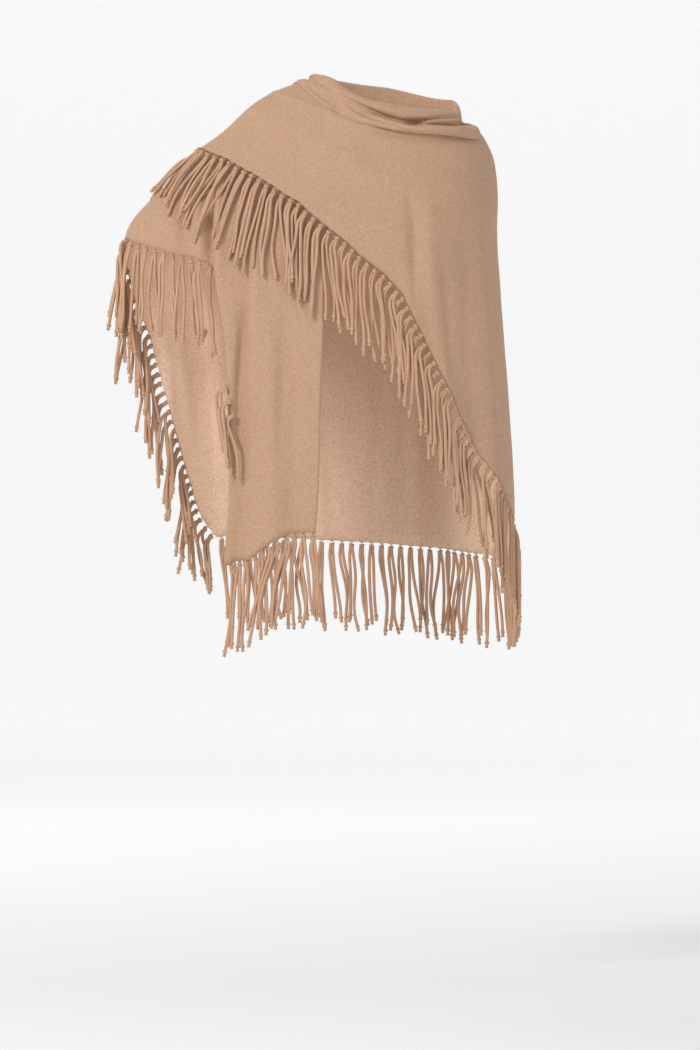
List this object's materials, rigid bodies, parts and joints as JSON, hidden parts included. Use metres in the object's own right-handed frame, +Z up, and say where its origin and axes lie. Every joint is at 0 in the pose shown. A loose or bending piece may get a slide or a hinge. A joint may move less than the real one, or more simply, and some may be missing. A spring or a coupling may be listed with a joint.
{
  "type": "fringed ruana cape",
  "caption": "Worn ruana-style knit cape, one front thrown over the opposite shoulder, with a rolled neck and knotted fringe along its outer edges.",
  "frame": {"origin": "in the middle of the neck opening at shoulder height, where the wearer's shoulders hold the cape up", "axes": "+Z up, -Y towards the cape's front, -X towards the wearer's right, the raised arm's side"},
  "size_m": [0.6684, 0.332, 0.9534],
  "materials": {
    "knit": "fine camel jersey knit, matt, slightly mottled and fuzzy",
    "fringe": "soft rolled jersey cords in the knit's own colour, tied in small knots"
  },
  "bodies": {
    "root": {"neck_roll": "knit", "left_front": "knit", "thrown_end": "knit", "back": "knit", "right_arm": "knit", "right_front": "knit", "fringe_diagonal": "fringe", "fringe_thrown_side": "fringe", "fringe_thrown_hem": "fringe", "fringe_arm": "fringe", "fringe_back_side": "fringe", "fringe_back_hem": "fringe", "fringe_front_hem": "fringe", "fringe_front_side": "fringe"}
  },
  "joints": []
}
